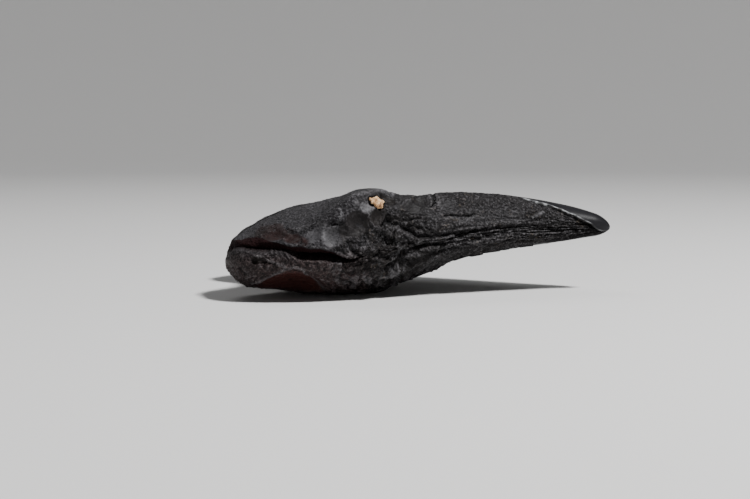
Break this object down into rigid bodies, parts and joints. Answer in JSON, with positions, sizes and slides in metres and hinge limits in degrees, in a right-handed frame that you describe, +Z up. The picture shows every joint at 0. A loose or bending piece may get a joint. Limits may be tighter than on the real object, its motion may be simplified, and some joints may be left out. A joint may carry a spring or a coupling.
{
  "type": "fossil megalodon tooth",
  "caption": "Large worn black fossil shark tooth lying on the swell of its root, with one side broken away, a deep cleft in the root and a small plug of sandy sediment.",
  "frame": {"origin": "under the middle of the tooth, on the surface it lies on", "axes": "+X from the root lobes to the tip, +Y from the broken side to the whole cutting edge, +Z up through the labial face"},
  "size_m": [0.1338, 0.0898, 0.0368],
  "materials": {
    "fossil_tooth": "satin black mineral, glossier on the enamel, fibrous where it is broken",
    "sandy_matrix": "matt, crumbly, grains of sand"
  },
  "bodies": {
    "root": {"tooth": "fossil_tooth", "sediment_plug": "sandy_matrix"}
  },
  "joints": []
}
